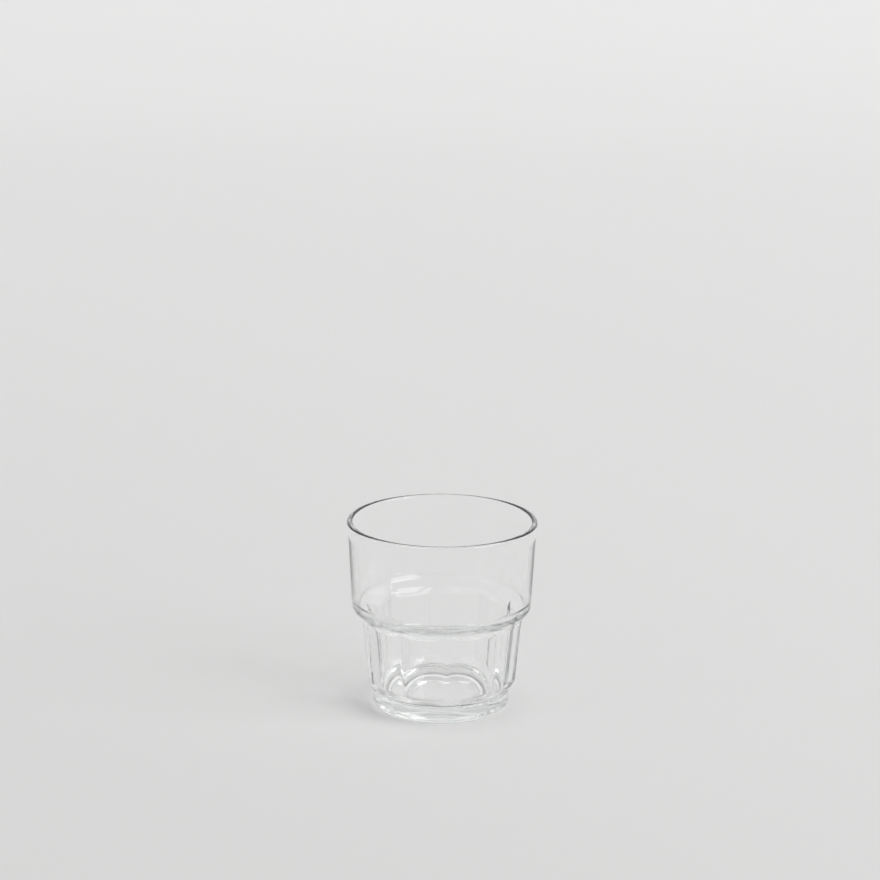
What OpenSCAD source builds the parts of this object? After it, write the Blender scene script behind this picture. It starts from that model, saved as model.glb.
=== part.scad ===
// Stackable tumbler for a short coffee, pressed from one gob of clear glass.
// Millimetres, +Z up, origin at the centre of the ring that the glass stands on.
// The wall is one revolved outline, and flat panels are pressed into the body below the shoulder.

/* [Rim and upper band] */
// Height from the standing ring to the top of the rim
glass_h = 73; // [66:0.2:84]
// Diameter over the rim
rim_d = 72; // [70:0.5:78]
// Thickness of the wall at the rim
rim_t = 2.1; // [1.6:0.1:2.8]
// How far the bead under the rim swells out of the band
bead_out = 0.5; // [0.1:0.05:0.8]
// Height of the bead, from the rim down to where it runs out
bead_h = 5.5; // [3:0.5:9]
// Outer diameter of the band at its foot, where the shoulder turns in
band_d = 67.8; // [66:0.2:69.4]
// Thickness of the band's wall above the shoulder
band_t = 2.4; // [1.8:0.1:3]

/* [Stacking shoulder] */
// Height of the shoulder's upper corner, which rests on the rim of the glass below
shoulder_z = 39; // [34:0.5:44]
// How far down the shoulder runs before it meets the panelled body
shoulder_drop = 3.4; // [2.4:0.2:4.4]
// Rounding of the shoulder's outer corner
shoulder_round = 3; // [1:0.1:4]
// Rounding of the hollow under the shoulder
waist_round = 1.8; // [0.6:0.1:2.2]
// How far the inner wall's shoulder starts above the outer one
inner_shoulder_rise = 2; // [1:0.5:4]
// How far down the inner wall's shoulder runs
inner_shoulder_drop = 4; // [3:0.5:7]
// Rounding of both corners of the inner shoulder
inner_shoulder_round = 4.5; // [2:0.5:6]

/* [Panelled body] */
// Diameter over the panels' ridges under the shoulder
waist_d = 62.2; // [60:0.2:63.4]
// Diameter over the panels' ridges at the heel
heel_d = 57.6; // [55:0.2:60]
// Height of the heel, where the body turns in to the foot
heel_z = 11; // [9.5:0.5:14]
// Rounding of the heel
heel_round = 4; // [1:0.5:6]
// Thickness of the body's wall under the shoulder, at a ridge
body_t = 3.6; // [2.8:0.1:4.4]
// Number of flat panels round the body
panel_count = 10; // [8:1:20]
// Gap between the top of a panel and the corner under the shoulder
panel_gap = 0.3; // [0.1:0.1:2]
// Radius of a panel's two upper corners
panel_corner = 2; // [0.5:0.25:4]

/* [Foot and floor] */
// Diameter of the foot
foot_d = 51.6; // [48:0.2:53]
// Height of the foot
foot_h = 6.6; // [4.5:0.2:8]
// Rounding of the foot's lower edge
foot_round = 2.5; // [1:0.25:3.5]
// Depth of the crease between foot and body
crease_in = 0.4; // [0.2:0.1:0.8]
// Height of the crease
crease_h = 0.5; // [0.3:0.1:0.8]
// Thickness of the floor over the standing ring
floor_t = 7; // [5.5:0.25:9]
// Inner diameter of the cavity where wall and floor would meet in a sharp corner
cavity_d = 48.8; // [46:0.2:50]
// Rounding between the wall and the floor inside
floor_round = 4.5; // [3:0.5:9]
// Depth of the hollow under the floor
recess_h = 1.2; // [0.6:0.1:2]
// Diameter of the hollow where its roof begins
recess_d = 33.5; // [28:0.5:37]
// How far the hollow's roof rises further, towards its middle
pushup_h = 0.4; // [0.2:0.1:0.8]
// Diameter of the flat in the middle of the roof
pushup_d = 20; // [12:0.5:26]
// Inner diameter of the standing ring
ring_inner_d = 39; // [38:0.5:43]
// How far the foot's edge is lifted off the plane that the standing ring is on
foot_lift = 0.15; // [0.05:0.05:0.4]

/* [Hidden] */
$fn = 180;

rim_r = rim_d / 2;
band_r = band_d / 2;
waist_r = waist_d / 2;
heel_r = heel_d / 2;
foot_r = foot_d / 2;
crease_r = foot_r - crease_in;
cavity_r = cavity_d / 2;
recess_r = recess_d / 2;
pushup_r = pushup_d / 2;
ring_inner_r = ring_inner_d / 2;
// The flat of the standing ring takes this share of the way out to the foot's rounding
ring_flat_share = 0.47;
ring_outer_r = ring_inner_r + (foot_r - foot_round - ring_inner_r) * ring_flat_share;

// The lip stands upright outside, and is rounded on both sides almost to a full half round
lip_round_share = 0.47;
lip_round = rim_t * lip_round_share;
lip_rise_share = 0.9;
lip_rise = rim_t * lip_rise_share;
// The bead runs into the band over a long soft curve, and into the lip over a short one
bead_round = 20;
bead_top_round = 6;
// Small edge roundings that the mould leaves at the foot
ring_round = 1;
recess_round = 3;
pushup_round = 4;
foot_edge_round = 0.4;
crease_round = 0.25;
// Cuts run past the surface by this much, and the outline's corner wedges past their corners
overrun = 2;
wedge_overrun = 0.5;

waist_z = shoulder_z - shoulder_drop;
crease_z = foot_h + crease_h;
inner_shoulder_z = shoulder_z + inner_shoulder_rise;
inner_waist_z = inner_shoulder_z - inner_shoulder_drop;

// The outline of the wall as [radius, height, rounding], up the outside and down the inside
outline = [
    [0, recess_h + pushup_h, 0],
    [pushup_r, recess_h + pushup_h, pushup_round],
    [recess_r, recess_h, recess_round],
    [ring_inner_r, 0, ring_round],
    [ring_outer_r, 0, 0],
    [foot_r, foot_lift, foot_round],
    [foot_r, foot_h, foot_edge_round],
    [crease_r, crease_z, crease_round],
    [heel_r, heel_z, heel_round],
    [waist_r, waist_z, waist_round],
    [band_r, shoulder_z, shoulder_round],
    [rim_r - bead_out, glass_h - bead_h, bead_round],
    [rim_r, glass_h - lip_rise, bead_top_round],
    [rim_r, glass_h, lip_round],
    [rim_r - rim_t, glass_h, lip_round],
    [band_r - band_t, inner_shoulder_z, inner_shoulder_round],
    [waist_r - body_t, inner_waist_z, inner_shoulder_round],
    [cavity_r, floor_t, floor_round],
    [0, floor_t, 0]
];

// A panel's plane leans with the body's wall and meets its neighbours along the ridges
panel_pitch = 360 / panel_count;
flat_share = cos(panel_pitch / 2);
panel_lean = atan2((waist_r - heel_r) * flat_share, waist_z - heel_z);
panel_low_r = heel_r * flat_share;
panel_w = 2 * waist_r * tan(panel_pitch / 2);
panel_top = (waist_z - panel_gap - heel_z) / cos(panel_lean);
panel_tail = (heel_z - crease_z) / cos(panel_lean);
panel_depth = waist_r - waist_r * flat_share + overrun;

function flat2(p) = [p[0], p[1]];
function unit(v) = v / norm(v);
function turn(a, b) = a[0] * b[1] - a[1] * b[0];

// The curved wedge between a sharp corner and its rounding, run a little past the corner
module corner_wedge(before, corner, after, round) {
    back = unit(before - corner);
    ahead = unit(after - corner);
    inward = unit(back + ahead);
    half = acos(back * ahead) / 2;
    reach = round / tan(half);
    centre = corner + inward * round / sin(half);
    difference() {
        polygon([corner - inward * wedge_overrun, corner + back * reach, centre, corner + ahead * reach]);
        translate(centre) circle(r = round);
    }
}

// Wedges of the outline's corners that turn one way: 1 for outward corners, -1 for hollow ones
module corner_wedges(points, way) {
    for (i = [1 : len(points) - 2]) {
        before = flat2(points[i - 1]);
        corner = flat2(points[i]);
        after = flat2(points[i + 1]);
        round = points[i][2];
        if (round > 0 && way * turn(corner - before, after - corner) > 0) {
            corner_wedge(before, corner, after, round);
        }
    }
}

// A closed outline with each corner rounded by a true arc
module rounded_outline(points) {
    difference() {
        union() {
            polygon([for (p = points) flat2(p)]);
            corner_wedges(points, -1);
        }
        corner_wedges(points, 1);
    }
}

// The outline of one panel: straight sides, rounded upper corners, open towards the heel
module panel_outline() {
    straight_h = panel_top - panel_corner;
    translate([-panel_w / 2, -panel_tail]) square([panel_w, panel_tail + straight_h]);
    translate([-panel_w / 2 + panel_corner, -panel_tail]) {
        square([panel_w - 2 * panel_corner, panel_tail + panel_top]);
    }
    for (side = [-1, 1]) {
        translate([side * (panel_w / 2 - panel_corner), straight_h]) circle(r = panel_corner);
    }
}

// Cuts the flat panels round the body
module panel_cuts() {
    for (i = [0 : panel_count - 1]) {
        rotate([0, 0, i * panel_pitch]) {
            translate([panel_low_r, 0, heel_z]) rotate([0, panel_lean, 0]) rotate([90, 0, 90]) {
                linear_extrude(height = panel_depth) panel_outline();
            }
        }
    }
}

// The whole glass
module tumbler() {
    color([0.86, 0.93, 0.91, 0.45]) difference() {
        rotate_extrude() rounded_outline(outline);
        panel_cuts();
    }
}

tumbler();
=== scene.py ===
"""A stackable coffee tumbler in clear pressed glass, on a pale sweep under soft studio light."""

import logging
import math
from dataclasses import dataclass, field
from enum import Enum

import bmesh
import bpy
from mathutils import Matrix, Vector


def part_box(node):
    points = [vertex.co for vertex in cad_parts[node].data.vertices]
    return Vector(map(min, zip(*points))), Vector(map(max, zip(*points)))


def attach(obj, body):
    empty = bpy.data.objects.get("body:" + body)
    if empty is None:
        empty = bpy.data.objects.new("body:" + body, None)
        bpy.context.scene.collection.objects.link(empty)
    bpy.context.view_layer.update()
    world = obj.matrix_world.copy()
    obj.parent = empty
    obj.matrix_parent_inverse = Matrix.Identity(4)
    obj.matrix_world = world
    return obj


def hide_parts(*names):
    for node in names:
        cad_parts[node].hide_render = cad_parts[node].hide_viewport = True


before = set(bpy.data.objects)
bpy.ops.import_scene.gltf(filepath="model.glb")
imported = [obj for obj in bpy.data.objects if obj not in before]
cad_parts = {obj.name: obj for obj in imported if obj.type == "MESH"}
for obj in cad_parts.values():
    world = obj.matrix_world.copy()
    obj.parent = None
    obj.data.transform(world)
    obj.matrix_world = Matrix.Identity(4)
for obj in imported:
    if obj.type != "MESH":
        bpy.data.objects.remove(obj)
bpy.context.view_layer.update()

MM = 0.001
NODE = "tumbler"
Colour = tuple[float, float, float, float]
Span = tuple[float, float]
log = logging.getLogger("tumbler")


def draw_wire(bm: bmesh.types.BMesh, points: list[Vector]) -> list[bmesh.types.BMVert]:
    """Draws an open wire through points.

    Args:
        bm: The mesh that takes the wire.
        points: The wire's points in order, in metres.

    Returns:
        The wire's vertices in the same order.
    """
    verts = [bm.verts.new(point) for point in points]
    for pair in zip(verts, verts[1:]):
        bm.edges.new(pair)
    return verts


def round_corner(bm: bmesh.types.BMesh, corner: bmesh.types.BMVert, reach: float, pieces: int) -> None:
    """Rounds one corner of a wire by an arc.

    Args:
        bm: The mesh that holds the wire.
        corner: The vertex at the corner.
        reach: How far from the corner the arc starts, in metres.
        pieces: How many straight pieces the arc has.
    """
    bmesh.ops.bevel(
        bm,
        geom=[corner],
        offset=reach,
        offset_type="OFFSET",
        affect="VERTICES",
        segments=pieces,
        profile=0.5,
        material=-1,
        clamp_overlap=False,
    )


def make_object(bm: bmesh.types.BMesh, name: str) -> bpy.types.Object:
    """Makes a smooth object of a finished mesh, and frees the mesh that it came from.

    Args:
        bm: The finished mesh.
        name: The object's name, which its mesh shares.

    Returns:
        The object, linked to the scene.
    """
    mesh = bpy.data.meshes.new(name)
    bm.to_mesh(mesh)
    bm.free()
    mesh.shade_smooth()
    made = bpy.data.objects.new(name, mesh)
    bpy.context.collection.objects.link(made)
    return made


def add_map_range(
    tree: bpy.types.NodeTree, value: bpy.types.NodeSocket, source: Span, target: Span
) -> bpy.types.NodeSocket:
    """Adds a node that maps one span of values to another and holds them inside it.

    Args:
        tree: The node tree that takes the node.
        value: The socket that gives the value.
        source: First and last value of the span that is read.
        target: What these two values become.

    Returns:
        The socket that gives the mapped value.
    """
    node = tree.nodes.new("ShaderNodeMapRange")
    node.inputs["From Min"].default_value, node.inputs["From Max"].default_value = source
    node.inputs["To Min"].default_value, node.inputs["To Max"].default_value = target
    tree.links.new(value, node.inputs["Value"])
    return node.outputs["Result"]


@dataclass(frozen=True)
class Corner:
    """A corner of the wall's outline, in millimetres, before it is rounded."""

    radius: float
    height: float
    rounding: float = 0.0

    def point(self) -> Vector:
        """The corner's place in the plane of the outline, in metres."""
        return Vector((self.radius, 0.0, self.height)) * MM


@dataclass
class WallOutline:
    """The section of the glass, from under the floor up the outside and down the inside.

    The height and the rim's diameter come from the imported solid. All sizes are in millimetres.
    """

    glass_h: float
    rim_d: float
    rim_t: float = 2.1
    bead_out: float = 0.5
    bead_h: float = 5.5
    bead_round: float = 20.0
    bead_top_round: float = 6.0
    lip_round_share: float = 0.47
    lip_rise_share: float = 0.9
    band_d: float = 67.8
    band_t: float = 2.4
    shoulder_z: float = 39.0
    shoulder_drop: float = 3.4
    shoulder_round: float = 3.0
    waist_round: float = 1.8
    inner_shoulder_rise: float = 2.0
    inner_shoulder_drop: float = 4.0
    inner_shoulder_round: float = 4.5
    waist_d: float = 62.2
    heel_d: float = 57.6
    heel_z: float = 11.0
    heel_round: float = 4.0
    body_t: float = 3.6
    foot_d: float = 51.6
    foot_h: float = 6.6
    foot_round: float = 2.5
    foot_edge_round: float = 0.4
    crease_in: float = 0.4
    crease_h: float = 0.5
    crease_round: float = 0.25
    floor_t: float = 7.0
    cavity_d: float = 48.8
    floor_round: float = 4.5
    recess_h: float = 1.2
    recess_d: float = 33.5
    recess_round: float = 3.0
    pushup_h: float = 0.4
    pushup_d: float = 20.0
    pushup_round: float = 4.0
    ring_inner_d: float = 39.0
    ring_flat_share: float = 0.47
    ring_round: float = 1.0
    foot_lift: float = 0.15
    arc_step_deg: float = 6.0
    fewest_arc_pieces: int = 3
    longest_piece: float = 4.0
    arch_piece: float = 0.3
    arch_zone: float = 7.0
    narrow_piece: float = 0.25
    shortest_cut: float = 0.75

    @property
    def waist_z(self) -> float:
        """Height of the hollow corner under the shoulder."""
        return self.shoulder_z - self.shoulder_drop

    @property
    def arch_z(self) -> float:
        """Height above which the outline is cut finely for the panels' rounded tops."""
        return self.waist_z - self.arch_zone

    @property
    def crease_z(self) -> float:
        """Height of the crease between foot and body."""
        return self.foot_h + self.crease_h

    def body_radius(self, height: float) -> float:
        """The radius of the body's outer line at a height, measured at a ridge.

        Args:
            height: Height above the standing ring, in millimetres.

        Returns:
            The radius in millimetres.
        """
        share = (height - self.heel_z) / (self.waist_z - self.heel_z)
        return (self.heel_d + (self.waist_d - self.heel_d) * share) / 2

    def is_outer(self, radius: float, height: float) -> bool:
        """Whether a point of the body's wall is on its outer side."""
        return radius > self.body_radius(height) - self.body_t / 2

    def corners(self) -> list[Corner]:
        """The outline's corners in order.

        Returns:
            Corners from the axis under the floor to the axis on top of the floor.
        """
        roof_z = self.recess_h + self.pushup_h
        ring_r = self.ring_inner_d / 2
        flat_end = self.foot_d / 2 - self.foot_round
        rim_r = self.rim_d / 2
        band_r = self.band_d / 2
        lip_round = self.rim_t * self.lip_round_share
        lip_rise = self.rim_t * self.lip_rise_share
        inner_shoulder_z = self.shoulder_z + self.inner_shoulder_rise
        inner_waist_z = inner_shoulder_z - self.inner_shoulder_drop
        return [
            Corner(0.0, roof_z),
            Corner(self.pushup_d / 2, roof_z, self.pushup_round),
            Corner(self.recess_d / 2, self.recess_h, self.recess_round),
            Corner(ring_r, 0.0, self.ring_round),
            Corner(ring_r + (flat_end - ring_r) * self.ring_flat_share, 0.0),
            Corner(self.foot_d / 2, self.foot_lift, self.foot_round),
            Corner(self.foot_d / 2, self.foot_h, self.foot_edge_round),
            Corner(self.foot_d / 2 - self.crease_in, self.crease_z, self.crease_round),
            Corner(self.heel_d / 2, self.heel_z, self.heel_round),
            Corner(self.body_radius(self.arch_z), self.arch_z),
            Corner(self.waist_d / 2, self.waist_z, self.waist_round),
            Corner(band_r, self.shoulder_z, self.shoulder_round),
            Corner(rim_r - self.bead_out, self.glass_h - self.bead_h, self.bead_round),
            Corner(rim_r, self.glass_h - lip_rise, self.bead_top_round),
            Corner(rim_r, self.glass_h, lip_round),
            Corner(rim_r - self.rim_t, self.glass_h, lip_round),
            Corner(band_r - self.band_t, inner_shoulder_z, self.inner_shoulder_round),
            Corner(self.waist_d / 2 - self.body_t, inner_waist_z, self.inner_shoulder_round),
            Corner(self.cavity_d / 2, self.floor_t, self.floor_round),
            Corner(0.0, self.floor_t),
        ]

    def draw(self, bm: bmesh.types.BMesh) -> None:
        """Draws the outline as a wire with its corners rounded by arcs.

        Args:
            bm: The empty mesh that takes the wire.
        """
        corners = self.corners()
        verts = draw_wire(bm, [corner.point() for corner in corners])
        for before, corner, after, vert in zip(corners, corners[1:], corners[2:], verts[1:]):
            if corner.rounding == 0.0:
                continue
            back = before.point() - corner.point()
            ahead = after.point() - corner.point()
            turn = math.pi - back.angle(ahead)
            reach = corner.rounding * MM * math.tan(turn / 2)
            pieces = max(self.fewest_arc_pieces, math.ceil(math.degrees(turn) / self.arc_step_deg))
            round_corner(bm, vert, reach, pieces)
        for edge in list(bm.edges):
            self.cut(bm, edge)

    def cut(self, bm: bmesh.types.BMesh, edge: bmesh.types.BMEdge) -> None:
        """Cuts a straight stretch into short pieces, with a narrow one at each end.

        Args:
            bm: The mesh that holds the wire.
            edge: One edge of the rounded wire.
        """
        if edge.calc_length() < self.shortest_cut * MM:
            return
        narrow = self.narrow_piece * MM
        first, last = edge.verts
        _, near = bmesh.utils.edge_split(edge, first, narrow / edge.calc_length())
        edge = bm.edges.get((near, last))
        _, far = bmesh.utils.edge_split(edge, last, narrow / edge.calc_length())
        edge = bm.edges.get((near, far))
        middle = (near.co + far.co) / (2 * MM)
        on_arches = self.arch_z < middle.z < self.waist_z and self.is_outer(middle.x, middle.z)
        longest = self.arch_piece if on_arches else self.longest_piece
        cuts = math.ceil(edge.calc_length() / (longest * MM)) - 1
        if cuts > 0:
            bmesh.ops.subdivide_edges(bm, edges=[edge], cuts=cuts)


@dataclass
class PressedPanels:
    """The flat panels that the mould presses into the body below the shoulder, in millimetres."""

    outline: WallOutline
    count: int = 10
    top_gap: float = 0.3
    corner: float = 2.0
    top_blend: float = 3.0
    ridge_blend: float = 0.4
    gather_share: float = 0.6

    @property
    def pitch(self) -> float:
        """The angle from one panel to the next, in radians."""
        return math.tau / self.count

    def from_centre(self, angle: float) -> float:
        """The signed angle from the centre of the nearest panel, in radians."""
        return (angle + self.pitch / 2) % self.pitch - self.pitch / 2

    def gathered(self, angle: float) -> float:
        """Moves an angle towards the nearest ridge, so that the mesh is finest there.

        Args:
            angle: Angle round the axis, in radians.

        Returns:
            The new angle. Panel centres and ridges stay where they are.
        """
        half = self.pitch / 2
        inside = self.from_centre(angle)
        eased = math.sin(inside / half * math.pi / 2) * half
        return angle + (eased - inside) * self.gather_share

    def blended(self, first: float, second: float) -> float:
        """The lesser of two radii, with a soft change from one to the other.

        Args:
            first: A radius in millimetres.
            second: Another radius in millimetres.

        Returns:
            The blended radius, never more than the lesser one.
        """
        share = min(max(0.5 + 0.5 * (second - first) / self.ridge_blend, 0.0), 1.0)
        return second + (first - second) * share - self.ridge_blend * share * (1.0 - share)

    def pressed(self, radius: float, angle: float, height: float) -> float:
        """The outer wall's radius after pressing.

        Args:
            radius: Radius of the round wall, in millimetres.
            angle: Angle round the axis, in radians.
            height: Height above the standing ring, in millimetres.

        Returns:
            The radius of the pressed wall, in millimetres.
        """
        half = self.pitch / 2
        inside = abs(self.from_centre(angle))
        ridge_r = self.outline.body_radius(height)
        flat = ridge_r * math.cos(half)
        panel = self.blended(flat / math.cos(inside), flat / math.cos(self.pitch - inside))
        over = flat * math.tan(inside) - (ridge_r * math.sin(half) - self.corner)
        over = min(max(over, 0.0), self.corner)
        drop = self.corner - math.sqrt(self.corner**2 - over**2)
        top = self.outline.waist_z - self.top_gap - drop
        depth = min(max((top - height) / self.top_blend + 0.5, 0.0), 1.0)
        depth = depth * depth * (3.0 - 2.0 * depth)
        return radius + (self.blended(radius, panel) - radius) * depth


@dataclass(frozen=True)
class MouldSkinAndContactShade:
    """What the mould and use leave on the glass (faint ripples, a little haze, a rough rubbed standing
    ring), plus painted shade: a darker base colour on the ring's face.
    """

    ripple_scale: float = 70.0
    ripple_stretch: float = 0.4
    ripple_detail: float = 1.0
    ripple_height: float = 0.003
    haze_scale: float = 400.0
    haze_span: Span = (0.4, 0.8)
    haze_most: float = 0.003
    # The band's height serves both the rubbed roughness and the painted shade; the tint is the painted
    # shade's darkest base colour, at the ring's face.
    rubbed_and_shaded_height: float = 0.02
    rubbed_roughness: float = 0.02
    contact_shade_tint: float = 0.45

    def group(self) -> bpy.types.NodeTree:
        """Makes the shared node group.

        Returns:
            A group that gives a tint, a roughness and a rippled normal.
        """
        tree = bpy.data.node_groups.new("mould_skin_and_contact_shade", "ShaderNodeTree")
        tree.interface.new_socket("Tint", in_out="OUTPUT", socket_type="NodeSocketColor")
        tree.interface.new_socket("Roughness", in_out="OUTPUT", socket_type="NodeSocketFloat")
        tree.interface.new_socket("Normal", in_out="OUTPUT", socket_type="NodeSocketVector")
        nodes, links = tree.nodes, tree.links
        where = nodes.new("ShaderNodeTexCoord")
        given = nodes.new("NodeGroupOutput")

        stretched = nodes.new("ShaderNodeMapping")
        stretched.inputs["Scale"].default_value = (1.0, 1.0, self.ripple_stretch)
        ripple = nodes.new("ShaderNodeTexNoise")
        ripple.inputs["Scale"].default_value = self.ripple_scale
        ripple.inputs["Detail"].default_value = self.ripple_detail
        bump = nodes.new("ShaderNodeBump")
        bump.inputs["Strength"].default_value = 1.0
        bump.inputs["Distance"].default_value = self.ripple_height * MM
        links.new(where.outputs["Object"], stretched.inputs["Vector"])
        links.new(stretched.outputs["Vector"], ripple.inputs["Vector"])
        links.new(ripple.outputs["Fac"], bump.inputs["Height"])
        links.new(bump.outputs["Normal"], given.inputs["Normal"])

        split = nodes.new("ShaderNodeSeparateXYZ")
        links.new(where.outputs["Object"], split.inputs["Vector"])
        # Painted shade: the base colour darkens towards the standing ring's face and stands in for the
        # floor's contact shadow under the ring.
        ring = (0.0, self.rubbed_and_shaded_height * MM)
        contact_shade = add_map_range(tree, split.outputs["Z"], ring, (self.contact_shade_tint, 1.0))
        links.new(contact_shade, given.inputs["Tint"])

        haze = nodes.new("ShaderNodeTexNoise")
        haze.inputs["Scale"].default_value = self.haze_scale
        links.new(where.outputs["Object"], haze.inputs["Vector"])
        hazed = add_map_range(tree, haze.outputs["Fac"], self.haze_span, (0.0, self.haze_most))
        rubbed = add_map_range(tree, split.outputs["Z"], ring, (self.rubbed_roughness, 0.0))
        rougher = nodes.new("ShaderNodeMath")
        rougher.operation = "MAXIMUM"
        links.new(hazed, rougher.inputs[0])
        links.new(rubbed, rougher.inputs[1])
        links.new(rougher.outputs["Value"], given.inputs["Roughness"])
        return tree


@dataclass(frozen=True)
class ClearGlass:
    """Fire-polished clear pressed glass with a faint grey-green body colour."""

    skin: MouldSkinAndContactShade = MouldSkinAndContactShade()
    ior: float = 1.52
    body_colour: Colour = (0.85, 0.90, 0.885, 1.0)
    body_density: float = 6.0

    def material(self) -> bpy.types.Material:
        """Makes the material.

        Returns:
            The finished material.
        """
        material = bpy.data.materials.new("clear_pressed_glass")
        material.use_nodes = True
        nodes = material.node_tree.nodes
        links = material.node_tree.links
        shader = nodes["Principled BSDF"]
        shader.inputs["IOR"].default_value = self.ior
        shader.inputs["Transmission Weight"].default_value = 1.0
        skin = nodes.new("ShaderNodeGroup")
        skin.node_tree = self.skin.group()
        # The base colour carries painted shade, darker on the standing ring's face.
        links.new(skin.outputs["Tint"], shader.inputs["Base Color"])
        links.new(skin.outputs["Roughness"], shader.inputs["Roughness"])
        links.new(skin.outputs["Normal"], shader.inputs["Normal"])
        body = nodes.new("ShaderNodeVolumeAbsorption")
        body.inputs["Color"].default_value = self.body_colour
        body.inputs["Density"].default_value = self.body_density
        links.new(body.outputs["Volume"], nodes["Material Output"].inputs["Volume"])
        return material


@dataclass
class Tumbler:
    """The whole glass: one spun wall with flat panels pressed into its body."""

    outline: WallOutline
    panels: PressedPanels
    steps_per_panel: int = 36
    seam_gap: float = 0.001

    def spin(self, bm: bmesh.types.BMesh) -> None:
        """Spins the outline through one panel's width.

        Args:
            bm: The mesh that holds the outline's wire.
        """
        bmesh.ops.spin(
            bm,
            geom=list(bm.verts) + list(bm.edges),
            cent=(0.0, 0.0, 0.0),
            axis=(0.0, 0.0, 1.0),
            angle=self.panels.pitch,
            steps=self.steps_per_panel,
            use_merge=False,
            use_normal_flip=False,
            use_duplicate=False,
        )

    def press(self, bm: bmesh.types.BMesh) -> None:
        """Presses the panel into the outer wall of the body.

        Args:
            bm: The spun mesh.
        """
        for vert in bm.verts:
            radius = math.hypot(vert.co.x, vert.co.y) / MM
            height = vert.co.z / MM
            angle = self.panels.gathered(math.atan2(vert.co.y, vert.co.x))
            between = self.outline.crease_z < height < self.outline.shoulder_z
            if between and self.outline.is_outer(radius, height):
                radius = self.panels.pressed(radius, angle, height)
            vert.co.x = radius * math.cos(angle) * MM
            vert.co.y = radius * math.sin(angle) * MM

    def repeat(self, bm: bmesh.types.BMesh) -> None:
        """Repeats the pressed panel round the axis and closes the wall.

        Args:
            bm: The mesh of one panel's width.
        """
        panel = list(bm.verts) + list(bm.edges) + list(bm.faces)
        for index in range(1, self.panels.count):
            copy = bmesh.ops.duplicate(bm, geom=panel)["geom"]
            verts = [part for part in copy if isinstance(part, bmesh.types.BMVert)]
            turn = Matrix.Rotation(index * self.panels.pitch, 3, "Z")
            bmesh.ops.rotate(bm, verts=verts, cent=(0.0, 0.0, 0.0), matrix=turn)
        bmesh.ops.remove_doubles(bm, verts=list(bm.verts), dist=self.seam_gap * MM)
        bmesh.ops.recalc_face_normals(bm, faces=list(bm.faces))

    def build(self) -> bpy.types.Object:
        """Builds the glass.

        Returns:
            The object, linked to the scene.
        """
        bm = bmesh.new()
        self.outline.draw(bm)
        self.spin(bm)
        self.press(bm)
        self.repeat(bm)
        return make_object(bm, "pressed_tumbler")

    def dress(self, piece: bpy.types.Object, finish: ClearGlass) -> None:
        """Gives the glass its finish and its place in the frame.

        Args:
            piece: The built glass.
            finish: The finish of clear glass.
        """
        piece.data.materials.append(finish.material())
        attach(piece, "root")
        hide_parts(NODE)


class LampRole(Enum):
    """What each lamp is for."""

    KEY = "key_softbox"
    FILL = "fill_softbox"


@dataclass
class SoftLamp:
    """A rectangular softbox, placed and sized in metres."""

    role: LampRole
    place: tuple[float, float, float]
    size: tuple[float, float]
    power: float
    aim: tuple[float, float, float] = (0.0, 0.0, 0.03)

    def build(self, turn: Matrix) -> bpy.types.Object:
        """Makes the lamp.

        Args:
            turn: How far the studio is turned round the glass.

        Returns:
            The lamp's object.
        """
        light = bpy.data.lights.new(self.role.value, "AREA")
        light.shape = "RECTANGLE"
        light.size, light.size_y = self.size
        light.energy = self.power
        lamp = bpy.data.objects.new(self.role.value, light)
        lamp.location = turn @ Vector(self.place)
        towards = turn @ Vector(self.aim) - lamp.location
        lamp.rotation_euler = towards.to_track_quat("-Z", "Y").to_euler()
        bpy.context.collection.objects.link(lamp)
        return lamp


@dataclass(frozen=True)
class MattPaper:
    """Matt grey-white paper with painted light and shade: darker near the camera and lighter towards the
    back of the sweep.
    """

    near_y: float = -0.3
    shaded_near_colour: Colour = (0.67, 0.67, 0.667, 1.0)
    far_y: float = 1.3
    lit_far_colour: Colour = (0.92, 0.92, 0.917, 1.0)

    def material(self) -> bpy.types.Material:
        """Makes the material.

        Returns:
            The finished material.
        """
        material = bpy.data.materials.new("matt_paper")
        material.use_nodes = True
        nodes = material.node_tree.nodes
        links = material.node_tree.links
        where = nodes.new("ShaderNodeTexCoord")
        split = nodes.new("ShaderNodeSeparateXYZ")
        links.new(where.outputs["Object"], split.inputs["Vector"])
        span = (self.near_y, self.far_y)
        depth = add_map_range(material.node_tree, split.outputs["Y"], span, (0.0, 1.0))
        # Painted light and shade: the colour goes from darker at the front to lighter at the back, in
        # place of light that falls more on the back of the sweep.
        shade = nodes.new("ShaderNodeValToRGB")
        shade.color_ramp.elements[0].color = self.shaded_near_colour
        shade.color_ramp.elements[1].color = self.lit_far_colour
        links.new(depth, shade.inputs["Fac"])
        shader = nodes["Principled BSDF"]
        shader.inputs["Roughness"].default_value = 1.0
        shader.inputs["Specular IOR Level"].default_value = 0.0
        links.new(shade.outputs["Color"], shader.inputs["Base Color"])
        return material


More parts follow.
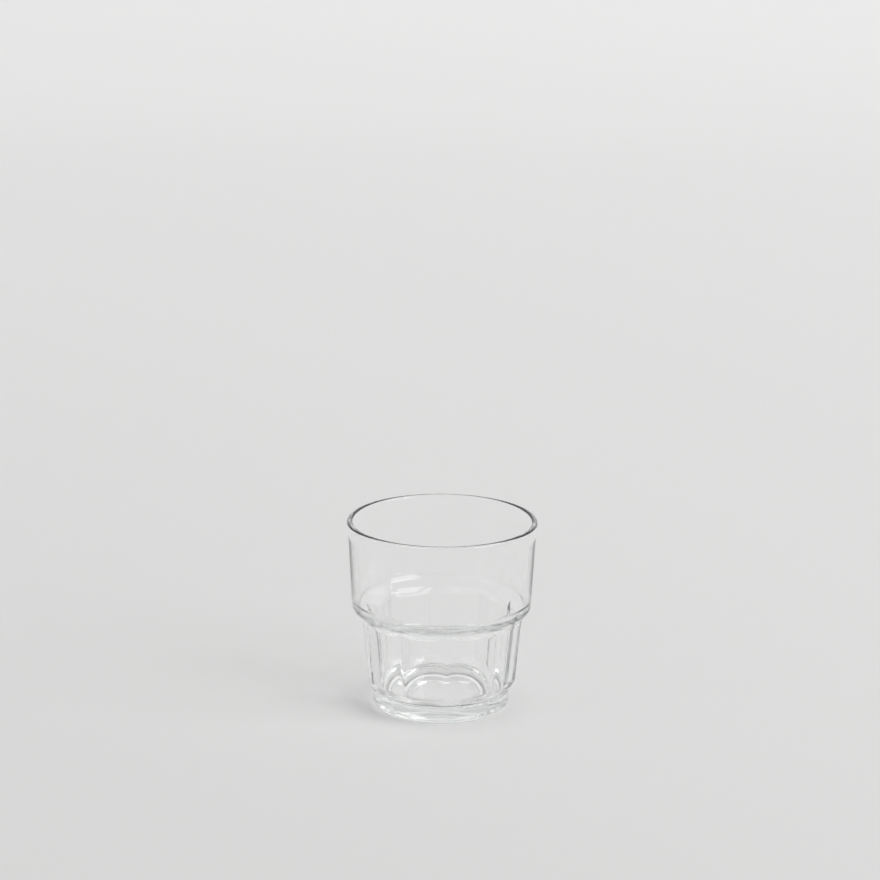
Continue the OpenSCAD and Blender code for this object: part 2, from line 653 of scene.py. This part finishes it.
@dataclass
class StudioSweep:
    """A pale sheet that lies as the floor and curves up behind the glass, in metres."""

    paper: MattPaper = MattPaper()
    half_width: float = 1.8
    front: float = 2.0
    back: float = 1.6
    height: float = 2.2
    bend: float = 0.6
    bend_pieces: int = 24
    air_gap: float = 0.00002

    def build(self, turn: Matrix) -> bpy.types.Object:
        """Makes the sheet.

        Args:
            turn: How far the studio is turned round the glass.

        Returns:
            The sheet's object, marked as stage.
        """
        bm = bmesh.new()
        floor_z = -self.air_gap
        side = [
            Vector((-self.half_width, -self.front, floor_z)),
            Vector((-self.half_width, self.back, floor_z)),
            Vector((-self.half_width, self.back, floor_z + self.height)),
        ]
        _, fold, _ = draw_wire(bm, side)
        round_corner(bm, fold, self.bend, self.bend_pieces)
        grown = bmesh.ops.extrude_edge_only(bm, edges=list(bm.edges))["geom"]
        moved = [part for part in grown if isinstance(part, bmesh.types.BMVert)]
        bmesh.ops.translate(bm, verts=moved, vec=(2 * self.half_width, 0.0, 0.0))
        bmesh.ops.recalc_face_normals(bm, faces=list(bm.faces))
        bmesh.ops.transform(bm, matrix=turn, verts=list(bm.verts))
        sheet = make_object(bm, "studio_sweep")
        sheet.data.materials.append(self.paper.material())
        return sheet


@dataclass
class RoomLight:
    """The even light of the room, brighter on the sweep's side than behind the camera."""

    behind_camera: float = 0.65
    over_sweep: float = 0.81

    def build(self, turn_angle: float) -> None:
        """Sets the world's light.

        Args:
            turn_angle: How far the studio is turned round the glass, in radians.
        """
        world = bpy.data.worlds.new("room_light")
        bpy.context.scene.world = world
        world.use_nodes = True
        nodes = world.node_tree.nodes
        links = world.node_tree.links
        where = nodes.new("ShaderNodeTexCoord")
        turned = nodes.new("ShaderNodeMapping")
        turned.inputs["Rotation"].default_value = (0.0, 0.0, -turn_angle)
        split = nodes.new("ShaderNodeSeparateXYZ")
        links.new(where.outputs["Generated"], turned.inputs["Vector"])
        links.new(turned.outputs["Vector"], split.inputs["Vector"])
        ends = (self.behind_camera, self.over_sweep)
        strength = add_map_range(world.node_tree, split.outputs["Y"], (-1.0, 1.0), ends)
        background = nodes["Background"]
        background.inputs["Color"].default_value = (1.0, 1.0, 1.0, 1.0)
        links.new(strength, background.inputs["Strength"])


@dataclass
class ProductCamera:
    """The camera, at the photograph's viewing angle and turned so that the glass has its place there."""

    image_px: float = 880.0
    pixel_mm: float = 0.3797
    distance: float = 1.7
    elevation_deg: float = 17.8
    roll_deg: float = 0.5
    aim_height_mm: float = 36.5
    aim_px: tuple[float, float] = (441.4, 612.0)
    sensor_mm: float = 36.0
    nearest: float = 0.05

    def build(self, turn: Matrix) -> bpy.types.Object:
        """Makes the camera and sets it as the scene's own.

        Args:
            turn: How far the studio is turned round the glass.

        Returns:
            The camera's object.
        """
        lens = bpy.data.cameras.new("product_camera")
        camera = bpy.data.objects.new("product_camera", lens)
        aim = Vector((0.0, 0.0, self.aim_height_mm * MM))
        elevation = math.radians(self.elevation_deg)
        away = turn @ Vector((0.0, -math.cos(elevation), math.sin(elevation)))
        camera.location = aim + away * self.distance
        level = (-away).to_track_quat("-Z", "Y").to_matrix()
        roll = Matrix.Rotation(math.radians(self.roll_deg), 3, "Z")
        focal_px = self.distance / (self.pixel_mm * MM)
        aside_px, below_px = (place - self.image_px / 2 for place in self.aim_px)
        up = Matrix.Rotation(math.atan(below_px / focal_px), 3, "X")
        aside = Matrix.Rotation(math.atan(aside_px / focal_px), 3, "Y")
        camera.rotation_euler = (level @ roll @ up @ aside).to_euler()
        lens.sensor_width = self.sensor_mm
        lens.lens = self.sensor_mm * focal_px / self.image_px
        lens.clip_start = self.nearest
        bpy.context.collection.objects.link(camera)
        bpy.context.scene.camera = camera
        return camera


@dataclass
class LightPaths:
    """How far light is followed through the glass, so that its edges stay clear with fine grey lines."""

    bounces: int = 48
    through_glass: int = 32
    mirrored: int = 14

    def build(self) -> None:
        """Sets the path lengths, and leaves the light behind glass unblurred."""
        cycles = bpy.context.scene.cycles
        cycles.max_bounces = self.bounces
        cycles.transmission_bounces = self.through_glass
        cycles.glossy_bounces = self.mirrored
        cycles.blur_glossy = 0.0


@dataclass
class Studio:
    """Everything round the glass: sweep, lamps, room light and camera, turned as one."""

    turn_deg: float = -6.5
    sweep: StudioSweep = field(default_factory=StudioSweep)
    room: RoomLight = field(default_factory=RoomLight)
    camera: ProductCamera = field(default_factory=ProductCamera)
    paths: LightPaths = field(default_factory=LightPaths)
    lamps: tuple[SoftLamp, ...] = (
        SoftLamp(LampRole.KEY, (1.6, -0.9, 1.17), (1.6, 1.4), 21.7),
        SoftLamp(LampRole.FILL, (-1.5, -1.05, 1.1), (2.4, 1.6), 4.4),
    )

    def build(self) -> None:
        """Sets up the studio."""
        angle = math.radians(self.turn_deg)
        turn = Matrix.Rotation(angle, 4, "Z")
        self.sweep.build(turn)
        self.room.build(angle)
        for lamp in self.lamps:
            lamp.build(turn)
        self.camera.build(turn)
        self.paths.build()
        bpy.context.scene.view_settings.view_transform = "Standard"


def main() -> None:
    """Builds the glass and the studio, in order."""
    logging.basicConfig(level=logging.INFO, format="%(name)s: %(message)s")
    low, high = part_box(NODE)
    outline = WallOutline(glass_h=high.z / MM, rim_d=(high.y - low.y) / MM)
    tumbler = Tumbler(outline, PressedPanels(outline))
    piece = tumbler.build()
    tumbler.dress(piece, ClearGlass())
    log.info("%s: %d faces", piece.name, len(piece.data.polygons))
    Studio().build()
    log.info("studio ready")


if __name__ == "__main__":
    main()
